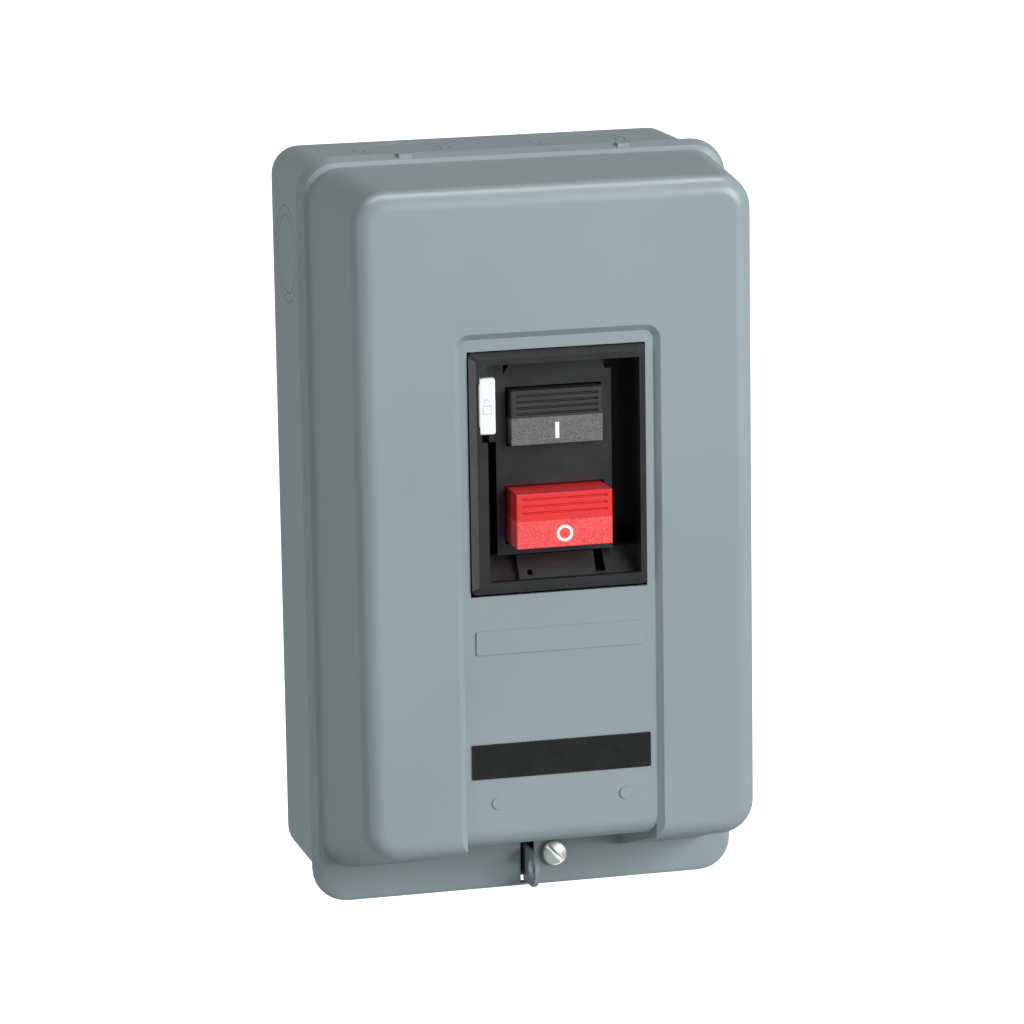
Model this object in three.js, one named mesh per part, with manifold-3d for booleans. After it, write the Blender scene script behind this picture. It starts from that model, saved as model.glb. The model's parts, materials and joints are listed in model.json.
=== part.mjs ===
// An enclosed push-button motor starter, wall mounted: a drawn steel box and cover around a
// three-pole starter whose START and STOP buttons reach through a black bezel in the cover.
// Millimetres. +X is right seen from the front, +Y runs into the wall, +Z is up, and the origin
// is the centre of the wall face. A depth is a distance out from the wall, so y = -depth.
import * as THREE from "three";
import { mergeVertices } from "three/addons/utils/BufferGeometryUtils.js";
import Module from "manifold-3d";

const wasm = await Module();
wasm.setup();

// ---- Driving dimensions ----
const GAP = 0.3; // between pieces that touch
const SLIDE_GAP = 0.7; // around a piece that slides

const BOX_WIDTH = 148.6;
const BOX_HEIGHT = 259;
const BOX_DEPTH = 56.6;
const BOX_CORNER = 9.8;
const SHEET = 1.5;
const MOUNT_HOLE_RADIUS = 3.2;
const MOUNT_HOLE_INSET = 30;
const KNOCKOUT_RADII = [14.1, 17.45]; // trade sizes 3/4 and 1 inch
const KNOCKOUT_GROOVE = 0.35;
const KNOCKOUT_DEPTH = 23;
const KNOCKOUT_SPACING = 64;
const SIDE_KNOCKOUT_DROP = 35; // below the top of the box

const SEAM_DEPTH = 54; // rear edge of the cover's skirt
const SKIRT_FLARE = 1;
const SKIRT_DROP = 1.5; // extra room between the box and the skirt along the bottom
const SKIRT_CORNER = 12;
const LEDGE_DEPTH = 60.2;
const LEDGE_ROUND = 2.2;
const LEDGE_HEIGHT = 13; // the set-back band under the cover's body
const COVER_DEPTH = 111.7;
const COVER_ROUND = 7;
const COVER_CORNER = 12;
const SIDE_DRAFT = 4; // what each side leans in from the ledge to the front
const TOP_DRAFT = 2;
const BOTTOM_DRAFT = 14;
const CHANNEL_RECESS = 2;
const CHANNEL_HALF = 34;
const CHANNEL_RISE = 2.3; // how far the channel's lower edge is raised
const CHANNEL_ROOT_RISE = 6.5; // and the same at the ledge
const CHANNEL_LEAN = 2.4; // width of the channel's sloping border

const BEZEL_WIDTH = 62.2;
const BEZEL_HEIGHT = 84;
const BEZEL_Z = 29; // centre height of the bezel
const BEZEL_PROUD = 2.6;
const BEZEL_BEVEL = 2.2;
const BEZEL_BAR = { left: 6, right: 2.5, top: 4.3, bottom: 4.3 };
const BEZEL_WALL = 1.2;
const WINDOW_GAP = 0.3; // round the bezel in the cover's window
const WINDOW_DROP = 0.7; // more of it below, where the edge rises as the cover swings out
const SLEEVE_DEPTH = 80; // how far back the bezel's well reaches
const LIP_THICK = 3.5; // of the bars in front of the well
const CHANNEL_MARGIN = 4.2; // channel above the bezel

const HOUSING_WIDTH = 41;
const HOUSING_TOP = 65.5;
const HOUSING_BOTTOM = -0.8;
const HOUSING_FRONT = 105;
const HOUSING_WALL = 2;
const NOTCH_DROP = 3.4; // of the notches in the housing's top corners
const NOTCH_DEPTH = 8;
const NOTCH_INSET = 2.9; // of the left notch from the housing's side
const BLOCK_FRONT = 40; // where the housing meets the contact block
const BUTTON_MARGIN = 4.3; // of the housing beyond each side of a button
const STOP_EXTRA = 0.7; // of the STOP button beyond each side of the other
const BUTTON_HEIGHT = 19;
const START_Z = 47.4;
const STOP_Z = 13.1;
const START_FRONT = 109.7; // pressed in, as the starter stands when it is on
const TRAVEL = 8.3; // of either button
const BUTTON_LENGTH = 22;
const GROOVE = 0.8;

const ROCKER_DEPTH = 78; // of its pivot
const ROCKER_THICK = 5;
const PIN_RADIUS = 2;
const CARRIER_OFFSET = 8; // of the carrier's stem above the rocker's pivot
const STEM_HALF = 3; // half the height of a stem

const BLOCK_WIDTH = 77;
const BLOCK_TOP = 84;
const BLOCK_BOTTOM = -2;
const BLOCK_FLOOR = 13;
const POLE_PITCH = 24;
const POLE_WIDTH = 19;
const CONTACT_WIDTH = 9;
const CONTACT_THICK = 1.6;
const EAR_HALF = 5; // of the block's mounting ears
const EAR_FRONT = 8;
const OVERLOAD_BOTTOM = -68;
const OVERLOAD_FRONT = 44;
const HEATER_HEIGHT = 32;

const MAGNET_X = 55;
const MAGNET_Z = 44;
const MAGNET_HALF = 20; // half the yoke's height
const MAGNET_REACH = 34; // of the yoke's limbs from its back
const COIL_RADIUS = 10;
const COIL_HEIGHT = 24;
const COIL_DROP = 6; // below the middle of the yoke
const CORE_RADIUS = 5;

const LABEL_WIDTH = 64;
const LABEL_HEIGHT = 12.3;
const LABEL_Z = -72.2;
const LABEL_THICK = 0.5;
const PLATE_SIZE = [59.6, 8.3]; // the raised name-plate outline on the cover
const PLATE_Z = -30.2;
const PLATE_PROUD = 0.5;
const DIMPLE_RADIUS = 2.2;
const DIMPLE_X = 22.9;
const DIMPLE_Z = -87.2;

const TAB_THICK = 1.5;
const TAB_REACH = 14; // of the padlock tab in front of the ledge
const TAB_HEIGHT = 13;
const PADLOCK_HOLE_RADIUS = 3.6;
const TAB_SLOT_WIDTH = 5;
const COVER_SCREW_X = 9.6;
const COVER_SCREW_HEAD = 4.4;
const COVER_SCREW_SHANK = 2.1;
const HOOK_X = 39.2;
const HOOK_WIDTH = 4.4;
const SLIDE_SIZE = [6, 19.6, 2.4];
const SILL_HALF = 14;

// ---- Places worked out from them ----
const buttonWidth = HOUSING_WIDTH - 2 * BUTTON_MARGIN;
const stopWidth = buttonWidth + 2 * STOP_EXTRA;
const halfWidth = BOX_WIDTH / 2;
const halfHeight = BOX_HEIGHT / 2;
const skirtOut = 0.5 + SHEET; // from the box's outside to the skirt's outside
const floorDepth = COVER_DEPTH - CHANNEL_RECESS;
const skirtBottom = -halfHeight - skirtOut - SKIRT_DROP;
const bodyBottom = skirtBottom + LEDGE_HEIGHT;
const bezelTop = BEZEL_Z + BEZEL_HEIGHT / 2;
const bezelBottom = BEZEL_Z - BEZEL_HEIGHT / 2;
const bezelFront = floorDepth + BEZEL_PROUD;
const well = {
  left: -BEZEL_WIDTH / 2 + BEZEL_BAR.left,
  right: BEZEL_WIDTH / 2 - BEZEL_BAR.right,
  bottom: bezelBottom + BEZEL_BAR.bottom,
  top: bezelTop - BEZEL_BAR.top,
};
const slideX = -HOUSING_WIDTH / 2 - GAP - SLIDE_SIZE[0] / 2 - 0.4;
const slideTopZ = well.top - 5;
const slideFront = bezelFront - LIP_THICK - 0.4;
const rockerZ = (START_Z + STOP_Z) / 2;
const rockerArm = (START_Z - STOP_Z) / 2;
const rockerTilt = Math.asin(TRAVEL / 2 / rockerArm);
const stopFront = START_FRONT + TRAVEL;
const panFront = SHEET + 2;
const poles = [-POLE_PITCH, 0, POLE_PITCH];
const tabZ = skirtBottom + SHEET + SLIDE_GAP + TAB_HEIGHT / 2;
const coverScrewZ = bodyBottom - 0.6;
const carrierZ = rockerZ + CARRIER_OFFSET;
const rockerRear = ROCKER_DEPTH - ROCKER_THICK / 2 / Math.cos(rockerTilt);
const carrierStem = rockerRear - (CARRIER_OFFSET + STEM_HALF) * Math.tan(rockerTilt) - GAP;

// ---- Materials ----
const paint = (color, roughness, metalness) =>
  new THREE.MeshStandardMaterial({ color, roughness, metalness });
const greyPaint = () => paint(0x87949a, 0.38, 0.1);
const blackPlastic = () => paint(0x1d1d1f, 0.45, 0);
const phenolic = () => paint(0x2a2623, 0.6, 0);
const zinc = () => paint(0xc9ccd0, 0.3, 0.9);
const copper = () => paint(0xb87345, 0.35, 0.9);
const brass = () => paint(0xb59a52, 0.35, 0.9);
const steel = () => paint(0x9a9da1, 0.35, 0.9);

// ---- Solids ----
function solid(geometry) {
  const bare = new THREE.BufferGeometry();
  bare.setAttribute("position", geometry.getAttribute("position"));
  bare.setIndex(geometry.index);
  const merged = mergeVertices(bare, 1e-4);
  return new wasm.Manifold(
    new wasm.Mesh({
      numProp: 3,
      vertProperties: new Float32Array(merged.attributes.position.array),
      triVerts: new Uint32Array(merged.index.array),
    }),
  );
}

function box([x0, x1], [depth0, depth1], [z0, z1]) {
  const geometry = new THREE.BoxGeometry(x1 - x0, depth1 - depth0, z1 - z0);
  return solid(geometry.translate((x0 + x1) / 2, -(depth0 + depth1) / 2, (z0 + z1) / 2));
}

// A round bar along the depth, from depth0 out to depth1.
function depthRod(radius, [depth0, depth1], x, z, sides = 24) {
  const geometry = new THREE.CylinderGeometry(radius, radius, depth1 - depth0, sides);
  return solid(geometry.translate(x, -(depth0 + depth1) / 2, z));
}

function crossRod(radius, [x0, x1], depth, z, sides = 20) {
  const geometry = new THREE.CylinderGeometry(radius, radius, x1 - x0, sides);
  return solid(geometry.rotateZ(Math.PI / 2).translate((x0 + x1) / 2, -depth, z));
}

function uprightRod(radius, [z0, z1], x, depth, sides = 24) {
  const geometry = new THREE.CylinderGeometry(radius, radius, z1 - z0, sides);
  return solid(geometry.rotateX(Math.PI / 2).translate(x, -depth, (z0 + z1) / 2));
}

// A profile drawn as (depth, z) points, extruded across x.
function crossPrism(points, [x0, x1]) {
  const outline = new THREE.Shape(points.map(([depth, z]) => new THREE.Vector2(depth, z)));
  return crossExtrude(outline, [x0, x1]);
}

function crossExtrude(outline, [x0, x1]) {
  const options = { depth: x1 - x0, bevelEnabled: false, curveSegments: 10 };
  const geometry = new THREE.ExtrudeGeometry(outline, options);
  // Local X is the depth (towards -Y), local Y is up, and the extrusion runs towards -X.
  const turn = new THREE.Matrix4().makeBasis(
    new THREE.Vector3(0, -1, 0),
    new THREE.Vector3(0, 0, 1),
    new THREE.Vector3(-1, 0, 0),
  );
  return solid(geometry.applyMatrix4(turn).translate(x1, 0, 0));
}

// An outline drawn as (x, z) points in the front view, extruded from one depth to another.
function frontPrism(points, [depth0, depth1]) {
  const outline = new THREE.Shape(points.map(([x, z]) => new THREE.Vector2(x, z)));
  const options = { depth: depth1 - depth0, bevelEnabled: false };
  const geometry = new THREE.ExtrudeGeometry(outline, options);
  return solid(geometry.rotateX(Math.PI / 2).translate(0, -depth0, 0));
}

// The points of a rounded rectangle at one depth, anticlockwise seen from the front.
const CORNER_STEPS = 7;
function ring({ depth, half, top, bottom, corner }) {
  const radius = Math.max(corner, 0.3);
  const centres = [
    [half - radius, top - radius],
    [-half + radius, top - radius],
    [-half + radius, bottom + radius],
    [half - radius, bottom + radius],
  ];
  const points = [];
  centres.forEach(([x, z], quarter) => {
    for (let step = 0; step <= CORNER_STEPS; step += 1) {
      const angle = (quarter + step / CORNER_STEPS) * (Math.PI / 2);
      const dx = radius * Math.cos(angle);
      const dz = radius * Math.sin(angle);
      points.push(new THREE.Vector3(x + dx, -depth, z + dz));
    }
  });
  return points;
}

// A closed solid through rings that run from the wall outwards.
function loft(sections) {
  const rings = sections.map(ring);
  const count = rings[0].length;
  const positions = rings.flat().flatMap((point) => point.toArray());
  const faces = [];
  for (let layer = 0; layer + 1 < rings.length; layer += 1) {
    for (let i = 0; i < count; i += 1) {
      const a = layer * count + i;
      const b = layer * count + ((i + 1) % count);
      faces.push(a, b, b + count, a, b + count, a + count);
    }
  }
  const last = (rings.length - 1) * count;
  for (let i = 1; i + 1 < count; i += 1) {
    faces.push(0, i + 1, i);
    faces.push(last, last + i, last + i + 1);
  }
  const geometry = new THREE.BufferGeometry();
  geometry.setAttribute("position", new THREE.Float32BufferAttribute(positions, 3));
  geometry.setIndex(faces);
  return solid(geometry);
}

function part(name, made, material) {
  const raw = made.getMesh();
  const geometry = new THREE.BufferGeometry();
  geometry.setAttribute("position", new THREE.BufferAttribute(raw.vertProperties, 3));
  geometry.setIndex(new THREE.BufferAttribute(raw.triVerts, 1));
  const mesh = new THREE.Mesh(geometry, material);
  mesh.name = name;
  return mesh;
}

// ---- Box ----
// A concentric pair of grooves in the outside of a wall, left to be knocked out.
function knockoutGrooves(disc) {
  return KNOCKOUT_RADII.map((radius) => disc(radius).subtract(disc(radius - KNOCKOUT_GROOVE)));
}

function boxShell() {
  const outer = { half: halfWidth, top: halfHeight, bottom: -halfHeight, corner: BOX_CORNER };
  const inner = {
    half: halfWidth - SHEET,
    top: halfHeight - SHEET,
    bottom: -halfHeight + SHEET,
    corner: BOX_CORNER - SHEET,
  };
  let shell = loft([{ ...outer, depth: 0 }, { ...outer, depth: BOX_DEPTH }]);
  shell = shell.subtract(loft([{ ...inner, depth: SHEET }, { ...inner, depth: BOX_DEPTH + 1 }]));
  const cuts = [];
  for (const side of [-1, 1]) {
    const end = [side * (halfHeight - KNOCKOUT_GROOVE), side * (halfHeight + 1)].sort(ascending);
    for (const x of [-KNOCKOUT_SPACING / 2, KNOCKOUT_SPACING / 2]) {
      cuts.push(...knockoutGrooves((radius) => uprightRod(radius, end, x, KNOCKOUT_DEPTH)));
    }
    const flank = [side * (halfWidth - KNOCKOUT_GROOVE), side * (halfWidth + 1)].sort(ascending);
    const z = halfHeight - SIDE_KNOCKOUT_DROP;
    cuts.push(...knockoutGrooves((radius) => crossRod(radius, flank, KNOCKOUT_DEPTH, z, 24)));
    for (const x of side > 0 ? [0] : [-1, 1].map((sign) => sign * (halfWidth - MOUNT_HOLE_INSET))) {
      const z0 = side * (halfHeight - MOUNT_HOLE_INSET);
      cuts.push(depthRod(MOUNT_HOLE_RADIUS, [-1, SHEET + 1], x, z0, 16));
    }
  }
  return cuts.reduce((body, cut) => body.subtract(cut), shell);
}

function ascending(a, b) {
  return a - b;
}

// ---- Cover ----
// The cover's drawn outer surface, or the one a sheet's thickness inside it, with the body
// lowered by recess at the front and sides and its lower edge raised.
function coverForm(inset, { recess = 0, rise = 0, rootRise = 0, from = SEAM_DEPTH } = {}) {
  const skirt = (out, depth) => ({
    depth: depth - (depth > SEAM_DEPTH ? inset : 1),
    half: halfWidth + skirtOut + out - inset,
    top: halfHeight + skirtOut + out - inset,
    bottom: skirtBottom - out + inset,
    corner: SKIRT_CORNER + out - inset,
  });
  const rims = recess
    ? []
    : [
        skirt(SKIRT_FLARE, from + (inset ? 0 : 1)),
        skirt(0, from + 3.5),
        skirt(-0.6, LEDGE_DEPTH - 0.9),
        skirt(-LEDGE_ROUND, LEDGE_DEPTH),
      ];
  if (!inset && rims.length) rims[0].depth = from;
  const round = COVER_ROUND - inset;
  const half = halfWidth - SIDE_DRAFT - recess;
  const top = halfHeight - TOP_DRAFT - recess;
  const bottom = bodyBottom + BOTTOM_DRAFT + rise;
  const root = {
    depth: LEDGE_DEPTH - inset + (recess ? -0.2 : 0.2),
    half: halfWidth - recess - inset,
    top: halfHeight - recess - inset,
    bottom: bodyBottom + rootRise + inset,
    corner: COVER_CORNER - inset,
  };
  const centre = COVER_DEPTH - COVER_ROUND - recess;
  const arcs = [0, 18, 36, 54, 72, 90].map((degrees) => {
    const angle = (degrees * Math.PI) / 180;
    const shrink = COVER_ROUND - round * Math.cos(angle);
    return {
      depth: centre + round * Math.sin(angle),
      half: half - shrink,
      top: top - shrink,
      bottom: bottom + shrink,
      corner: COVER_CORNER - shrink,
    };
  });
  return loft([...rims, root, ...arcs]);
}

// The space that the recessed channel takes out of the cover's body.
function channelSpace(grow) {
  const top = bezelTop + CHANNEL_MARGIN + grow;
  const bottom = -halfHeight * 1.2;
  const half = CHANNEL_HALF + grow;
  const corner = 3;
  const rear = LEDGE_DEPTH + 0.2 - grow;
  const lean = CHANNEL_LEAN;
  const front = COVER_DEPTH - grow;
  return loft([
    { depth: rear, half, top, bottom, corner },
    { depth: floorDepth - grow - 0.2, half, top, bottom, corner },
    { depth: front, half: half + lean, top: top + lean, bottom, corner: corner + lean },
    { depth: front + 9, half: half + lean, top: top + lean, bottom, corner: corner + lean },
  ]);
}

function coverSkin(inset) {
  const channel = { recess: CHANNEL_RECESS, rise: CHANNEL_RISE, rootRise: CHANNEL_ROOT_RISE };
  return coverForm(inset).subtract(channelSpace(inset)).add(coverForm(inset, channel));
}

function coverShell() {
  let shell = coverSkin(0).subtract(coverSkin(SHEET));
  const [plateWidth, plateHeight] = PLATE_SIZE;
  const plate = { half: plateWidth / 2, top: PLATE_Z + plateHeight / 2, corner: 0.6 };
  plate.bottom = plate.top - plateHeight;
  const raised = floorDepth + PLATE_PROUD;
  shell = shell.add(
    loft([
      { ...plate, depth: floorDepth - 0.5 },
      { ...plate, depth: raised },
    ]),
  );
  for (const side of [-1, 1]) {
    const x = side * DIMPLE_X;
    shell = shell.add(depthRod(DIMPLE_RADIUS, [floorDepth - 0.5, floorDepth + 0.5], x, DIMPLE_Z, 16));
    // A dome on the skirt covers the hook that holds the cover's top edge.
    const hook = [side * HOOK_X - HOOK_WIDTH / 2, side * HOOK_X + HOOK_WIDTH / 2];
    const lid = halfHeight + skirtOut;
    shell = shell.add(box(hook, [SEAM_DEPTH + 0.4, SEAM_DEPTH + 4.4], [lid - 0.6, lid + 1.1]));
  }
  const edge = BEZEL_WIDTH / 2 + WINDOW_GAP;
  const window = [bezelBottom - WINDOW_GAP - WINDOW_DROP, bezelTop + WINDOW_GAP];
  shell = shell.subtract(box([-edge, edge], [floorDepth - 8, COVER_DEPTH + 1], window));
  const slot = [tabZ - TAB_HEIGHT / 2 - 0.8, tabZ + TAB_HEIGHT / 2 + 1.6];
  const slotHalf = TAB_SLOT_WIDTH / 2;
  shell = shell.subtract(box([-slotHalf, slotHalf], [LEDGE_DEPTH - 3, LEDGE_DEPTH + 3], slot));
  const screwHole = [LEDGE_DEPTH - 3, LEDGE_DEPTH + 1];
  const hole = depthRod(COVER_SCREW_SHANK + GAP, screwHole, COVER_SCREW_X, coverScrewZ, 16);
  return shell.subtract(hole);
}

// ---- Bezel and slide ----
// The black frame, the well behind it that the buttons stand in, and the floor of the well,
// which fits round the mechanism's housing.
function bezel() {
  const outer = { half: BEZEL_WIDTH / 2, top: bezelTop, bottom: bezelBottom, corner: 1.5 };
  const inner = {
    half: outer.half - BEZEL_BEVEL,
    top: outer.top - BEZEL_BEVEL,
    bottom: outer.bottom + BEZEL_BEVEL,
    corner: 0.8,
  };
  const body = loft([
    { ...outer, depth: SLEEVE_DEPTH },
    { ...outer, depth: bezelFront - BEZEL_BEVEL * 0.85 },
    { ...inner, depth: bezelFront },
  ]);
  const lip = bezelFront - LIP_THICK;
  const hollow = box(
    [BEZEL_WALL - outer.half, outer.half - BEZEL_WALL],
    [SLEEVE_DEPTH + BEZEL_WALL, lip],
    [bezelBottom + BEZEL_WALL, bezelTop - BEZEL_WALL],
  );
  const opening = box([well.left, well.right], [lip - 1, bezelFront + 1], [well.bottom, well.top]);
  const side = HOUSING_WIDTH / 2 + GAP;
  const passage = box(
    [-side, side],
    [SLEEVE_DEPTH - 1, SLEEVE_DEPTH + 3],
    [HOUSING_BOTTOM - GAP, HOUSING_TOP + GAP],
  );
  const [slideWidth, slideHeight] = SLIDE_SIZE;
  const pocket = box(
    [slideX - slideWidth / 2 - 0.5, well.left + 1],
    [lip - 1, bezelFront + 1],
    [slideTopZ - slideHeight - 2, slideTopZ + 1.2],
  );
  const slideEdge = slideX - slideWidth / 2;
  const relief = box(
    [slideEdge - 1.5, slideEdge],
    [lip - 1, bezelFront + 1],
    [slideTopZ - 16, slideTopZ - 1.2],
  );
  const cuts = [hollow, opening, passage, pocket, relief];
  const frame = cuts.reduce((made, cut) => made.subtract(cut), body);
  return frame.add(slideRail()).add(sill());
}

// The strip behind the slide, with the slot that its stem runs in. Below the slide's resting
// place the strip is cut back to its outer edge, so the well is open beside the housing.
function slideRail() {
  const front = slideFront - SLIDE_SIZE[2] - GAP;
  const z = [bezelBottom + 0.5, bezelTop - 0.5];
  const strip = box([-BEZEL_WIDTH / 2 + 0.5, -HOUSING_WIDTH / 2 - GAP], [front - 3, front], z);
  const edge = slideX - 1.2;
  const cut = [front - 4, front + 1];
  const slot = box([edge, slideX + 1.2], cut, [slideTopZ - 40, slideTopZ - 3]);
  const open = box([edge, -HOUSING_WIDTH / 2], cut, [well.bottom, slideTopZ - SLIDE_SIZE[1] - 3]);
  return strip.subtract(slot).subtract(open);
}

// The sloping sill between the mechanism's lower edge and the frame's lower bar: a raised
// middle and two flanks set back from it.
function sill() {
  const low = bezelBottom + 0.5;
  const top = HOUSING_BOTTOM - GAP;
  const slope = (rearward) => [
    [HOUSING_FRONT - 8, top],
    [HOUSING_FRONT - 8, low],
    [bezelFront - LIP_THICK + 0.5, low],
    [bezelFront - LIP_THICK + 0.5 - rearward * 0.5, well.bottom],
    [HOUSING_FRONT - rearward, top],
  ];
  const middle = crossPrism(slope(0), [-SILL_HALF, SILL_HALF]);
  const flanks = crossPrism(slope(4), [-BEZEL_WIDTH / 2 + 0.5, BEZEL_WIDTH / 2 - 0.5]);
  const eye = depthRod(1, [HOUSING_FRONT - 9, bezelFront], 4 - SILL_HALF, (low + top) / 2, 12);
  const slit = box(
    [SILL_HALF - 0.7, SILL_HALF + 3.3],
    [HOUSING_FRONT - 9, bezelFront],
    [well.bottom + 0.3, top + 1],
  );
  return middle.add(flanks).subtract(eye).subtract(slit);
}

function lockoutSlide() {
  const [width, height, thick] = SLIDE_SIZE;
  const z = [slideTopZ - height, slideTopZ];
  const plate = { half: width / 2, top: z[1], bottom: z[0], corner: 0.9 };
  const body = loft([
    { ...plate, depth: slideFront - thick },
    { ...plate, depth: slideFront - 0.4 },
    { ...plate, depth: slideFront, half: plate.half - 0.4, top: z[1] - 0.4, bottom: z[0] + 0.4 },
  ]);
  const middle = (z[0] + z[1]) / 2;
  const span = [slideFront - thick - 6, slideFront - thick + 0.5];
  const stem = box([-0.8, 0.8], span, [middle - 2, middle + 2]);
  return body.add(stem).translate([slideX, 0, 0]);
}

function label() {
  const face = { half: LABEL_WIDTH / 2, top: LABEL_Z + LABEL_HEIGHT / 2, corner: 0.4 };
  face.bottom = face.top - LABEL_HEIGHT;
  const rear = floorDepth + 0.05;
  return loft([
    { ...face, depth: rear },
    { ...face, depth: rear + LABEL_THICK },
  ]);
}

// A slotted screw along the depth with its head's seat at the given depth, about x = z = 0.
function slottedScrew(head, shank, seat, length, headHeight, slotTurn = 0) {
  const sides = 20;
  const low = depthRod(head, [seat, seat + headHeight * 0.6], 0, 0, sides);
  const capRise = headHeight * 0.45;
  const dome = new THREE.CylinderGeometry(head, head * 0.72, capRise, sides);
  const cap = solid(dome.translate(0, -(seat + headHeight * 0.55 + capRise / 2), 0));
  const slot = box([-head - 1, head + 1], [seat + headHeight * 0.5, seat + headHeight + 1], [-0.6, 0.6]);
  const turned = slot.rotate([0, slotTurn, 0]);
  return low.add(cap).subtract(turned).add(depthRod(shank, [seat - length, seat + 0.2], 0, 0, 12));
}

function coverScrew() {
  const seat = LEDGE_DEPTH + 0.2 + GAP;
  return slottedScrew(COVER_SCREW_HEAD, COVER_SCREW_SHANK, seat, 13, 3.2, 45).translate([
    COVER_SCREW_X,
    0,
    coverScrewZ,
  ]);
}

// ---- Pieces fixed in the box ----
// The padlock tab, a plate on edge that reaches out through the ledge, with its foot on the
// box's floor wall.
function padlockTab() {
  const low = tabZ - TAB_HEIGHT / 2;
  const high = tabZ + TAB_HEIGHT / 2;
  const tip = LEDGE_DEPTH + TAB_REACH;
  const outline = new THREE.Shape();
  outline.moveTo(38, low);
  outline.lineTo(tip - TAB_HEIGHT / 2, low);
  outline.absarc(tip - TAB_HEIGHT / 2, tabZ, TAB_HEIGHT / 2, -Math.PI / 2, Math.PI / 2);
  outline.lineTo(38, high);
  outline.closePath();
  const plate = crossExtrude(outline, [-TAB_THICK / 2, TAB_THICK / 2]);
  const hole = crossRod(PADLOCK_HOLE_RADIUS, [-3, 3], tip - 2.4 - PADLOCK_HOLE_RADIUS, tabZ, 20);
  const floor = -halfHeight + SHEET + GAP;
  const foot = box([-TAB_THICK / 2, 7], [38, 50], [floor, floor + SHEET]);
  const room = box([-3, 3], [0, 200], [floor, high + 1]).add(frontOfBox());
  return plate.intersect(room).subtract(hole).add(foot);
}

// All the space in front of the box's rim, where the tab may reach below the box's floor.
function frontOfBox() {
  return box([-9, 9], [BOX_DEPTH + GAP, COVER_DEPTH], [-halfHeight - 20, 0]);
}

// The clip that the cover screw bites into: an angle with its foot on the box's floor.
function screwBracket() {
  const floor = -halfHeight + SHEET + GAP;
  const front = BOX_DEPTH - 3;
  const half = 5;
  const x = [COVER_SCREW_X - half + 2.9, COVER_SCREW_X + half + 2.9];
  const foot = box(x, [front - 16, front], [floor, floor + 1.5]);
  const upright = box(x, [front - 1.5, front], [floor, coverScrewZ + 6]);
  const hole = depthRod(COVER_SCREW_SHANK + 1, [front - 3, front + 1], COVER_SCREW_X, coverScrewZ, 16);
  return foot.add(upright).subtract(hole);
}

function coverHook() {
  const wall = halfHeight - SHEET - GAP;
  const reach = [SEAM_DEPTH - 16, BOX_DEPTH + 0.7];
  const foot = box([-HOOK_WIDTH / 2, HOOK_WIDTH / 2], reach, [wall - 1.5, wall]);
  return foot;
}

function mountingScrew() {
  return slottedScrew(4, 2, EAR_FRONT + GAP, 6, 2.6);
}

function groundLug() {
  const base = box([-5, 5], [panFront - 1.7, panFront + 4.5], [-8, 8]);
  return base.subtract(uprightRod(2.3, [-9, 9], 0, panFront + 1.5, 16));
}

// ---- Starter ----
function contactBlock() {
  const x = BLOCK_WIDTH / 2;
  let block = box([-x, x], [SHEET + GAP, BLOCK_FRONT - GAP], [BLOCK_BOTTOM, BLOCK_TOP]);
  for (const pole of poles) {
    const bay = [pole - POLE_WIDTH / 2, pole + POLE_WIDTH / 2];
    block = block.subtract(box(bay, [BLOCK_FLOOR, BLOCK_FRONT + 1], [BLOCK_BOTTOM + 8, 64]));
    block = block.subtract(box(bay, [BLOCK_FLOOR, BLOCK_FRONT + 1], [66, BLOCK_TOP + 1]));
    const strip = [pole - CONTACT_WIDTH / 2 - GAP, pole + CONTACT_WIDTH / 2 + GAP];
    block = block.subtract(box(strip, [BLOCK_FLOOR, BLOCK_FLOOR + 4], [60, 70]));
    block = block.subtract(box(strip, [BLOCK_FLOOR, BLOCK_FLOOR + 4], [BLOCK_BOTTOM - 1, 8]));
  }
  const slot = [carrierZ - 5 - SLIDE_GAP, carrierZ + 5 + SLIDE_GAP];
  const barriers = x - 4 + SLIDE_GAP;
  block = block.subtract(box([-barriers, barriers], [27 - SLIDE_GAP, BLOCK_FRONT + 1], slot));
  for (const [earX, earZ] of mountingPlaces()) {
    const side = Math.sign(earX);
    const across = [side * (x - 1), earX + side * EAR_HALF].sort(ascending);
    const ear = box(across, [SHEET + GAP, EAR_FRONT], [earZ - EAR_HALF, earZ + EAR_HALF]);
    block = block.add(ear).subtract(depthRod(2.4, [0, EAR_FRONT + 1], earX, earZ, 12));
  }
  return block;
}

// The centres of the ears that fix the contact block to the box's back.
function mountingPlaces() {
  const x = BLOCK_WIDTH / 2 + EAR_HALF + 0.5;
  return [
    [-x, BLOCK_TOP - EAR_HALF - 2],
    [x, BLOCK_TOP - EAR_HALF - 2],
    [x, BLOCK_BOTTOM + EAR_HALF + 2],
  ];
}

function lineContact() {
  const strip = [-CONTACT_WIDTH / 2, CONTACT_WIDTH / 2];
  const rear = BLOCK_FLOOR + GAP;
  const bar = box(strip, [rear, rear + CONTACT_THICK], [50, BLOCK_TOP - 2]);
  const tip = depthRod(3, [rear, rear + CONTACT_THICK + 1.2], 0, 54, 16);
  const hole = depthRod(1.9, [rear - 1, rear + 9], 0, 76, 12);
  return bar.add(tip).subtract(hole);
}

function loadContact() {
  const strip = [-CONTACT_WIDTH / 2, CONTACT_WIDTH / 2];
  const rear = BLOCK_FLOOR + GAP;
  const bar = box(strip, [rear, rear + CONTACT_THICK], [BLOCK_BOTTOM + 0.5, 28]);
  const tip = depthRod(3, [rear, rear + CONTACT_THICK + 1.2], 0, 23, 16);
  return bar.add(tip);
}

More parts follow.
